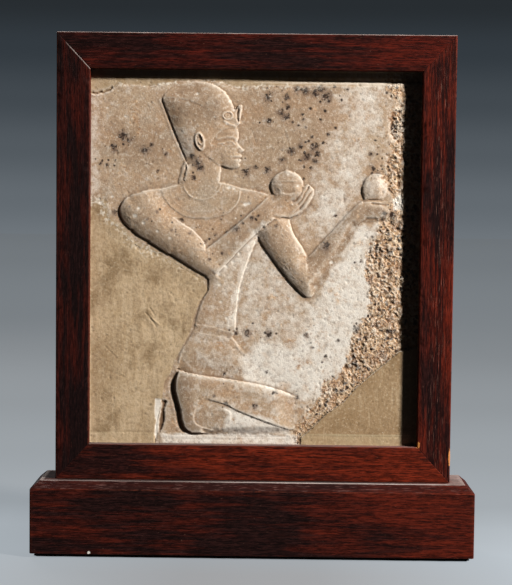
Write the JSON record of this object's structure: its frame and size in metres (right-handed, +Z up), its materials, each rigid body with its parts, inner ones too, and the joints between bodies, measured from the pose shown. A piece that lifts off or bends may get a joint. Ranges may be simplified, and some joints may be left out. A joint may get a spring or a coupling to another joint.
{
  "type": "framed relief plaque",
  "caption": "Carved limestone relief plaque of a kneeling figure offering two round jars, held in a mitred wooden frame on a bevelled plinth, with turn buttons on the back.",
  "frame": {"origin": "middle of the underside of the plinth's pad, the face that the object rests on", "axes": "+X to the viewer's right along the plinth, +Y to the back, +Z up; the carved face looks along -Y"},
  "size_m": [0.2714, 0.0464, 0.3205],
  "materials": {
    "limestone": "carved, matt, pitted",
    "plaster": "trowelled, matt",
    "mahogany": "stained, satin varnish",
    "key_wood": "bare, planed",
    "cork": "granular, matt",
    "felt": "napped, matt",
    "board": "hardboard, satin",
    "brass": "brushed, slightly tarnished",
    "steel": "zinc plated"
  },
  "bodies": {
    "root": {"relief_fragment": "limestone", "plaster_fill_left": "plaster", "plaster_fill_right": "plaster", "frame_rail_top": "mahogany", "frame_rail_bottom": "mahogany", "frame_stile_left": "mahogany", "frame_stile_right": "mahogany", "mitre_key_bottom_left": "key_wood", "mitre_key_bottom_right": "key_wood", "mitre_key_top_left": "key_wood", "mitre_key_top_right": "key_wood", "packing_strip_bottom": "cork", "packing_strip_left": "cork", "packing_strip_right": "cork", "packing_strip_top": "cork", "back_cushion": "felt", "backboard": "board", "button_screw_lower_left": "brass", "button_screw_lower_right": "brass", "button_screw_upper_left": "brass", "button_screw_upper_right": "brass", "plinth": "mahogany", "plinth_pad": "felt", "plinth_screw_left": "steel", "plinth_screw_right": "steel", "plinth_dowel_left": "key_wood", "plinth_dowel_right": "key_wood"},
    "button_lower_left": {"turn_button_lower_left": "brass"},
    "button_lower_right": {"turn_button_lower_right": "brass"},
    "button_upper_left": {"turn_button_upper_left": "brass"},
    "button_upper_right": {"turn_button_upper_right": "brass"}
  },
  "joints": [
    {"name": "turn_lower_left", "type": "hinge", "parent": "root", "child": "button_lower_left", "pos_m": [-0.11404, 0.0128, 0.104], "axis": [0, 1, 0], "range_deg": [-90, 90]},
    {"name": "turn_lower_right", "type": "hinge", "parent": "root", "child": "button_lower_right", "pos_m": [0.11404, 0.0128, 0.104], "axis": [0, 1, 0], "range_deg": [-90, 90]},
    {"name": "turn_upper_left", "type": "hinge", "parent": "root", "child": "button_upper_left", "pos_m": [-0.11404, 0.0128, 0.2635], "axis": [0, 1, 0], "range_deg": [-90, 90]},
    {"name": "turn_upper_right", "type": "hinge", "parent": "root", "child": "button_upper_right", "pos_m": [0.11404, 0.0128, 0.2635], "axis": [0, 1, 0], "range_deg": [-90, 90]}
  ]
}
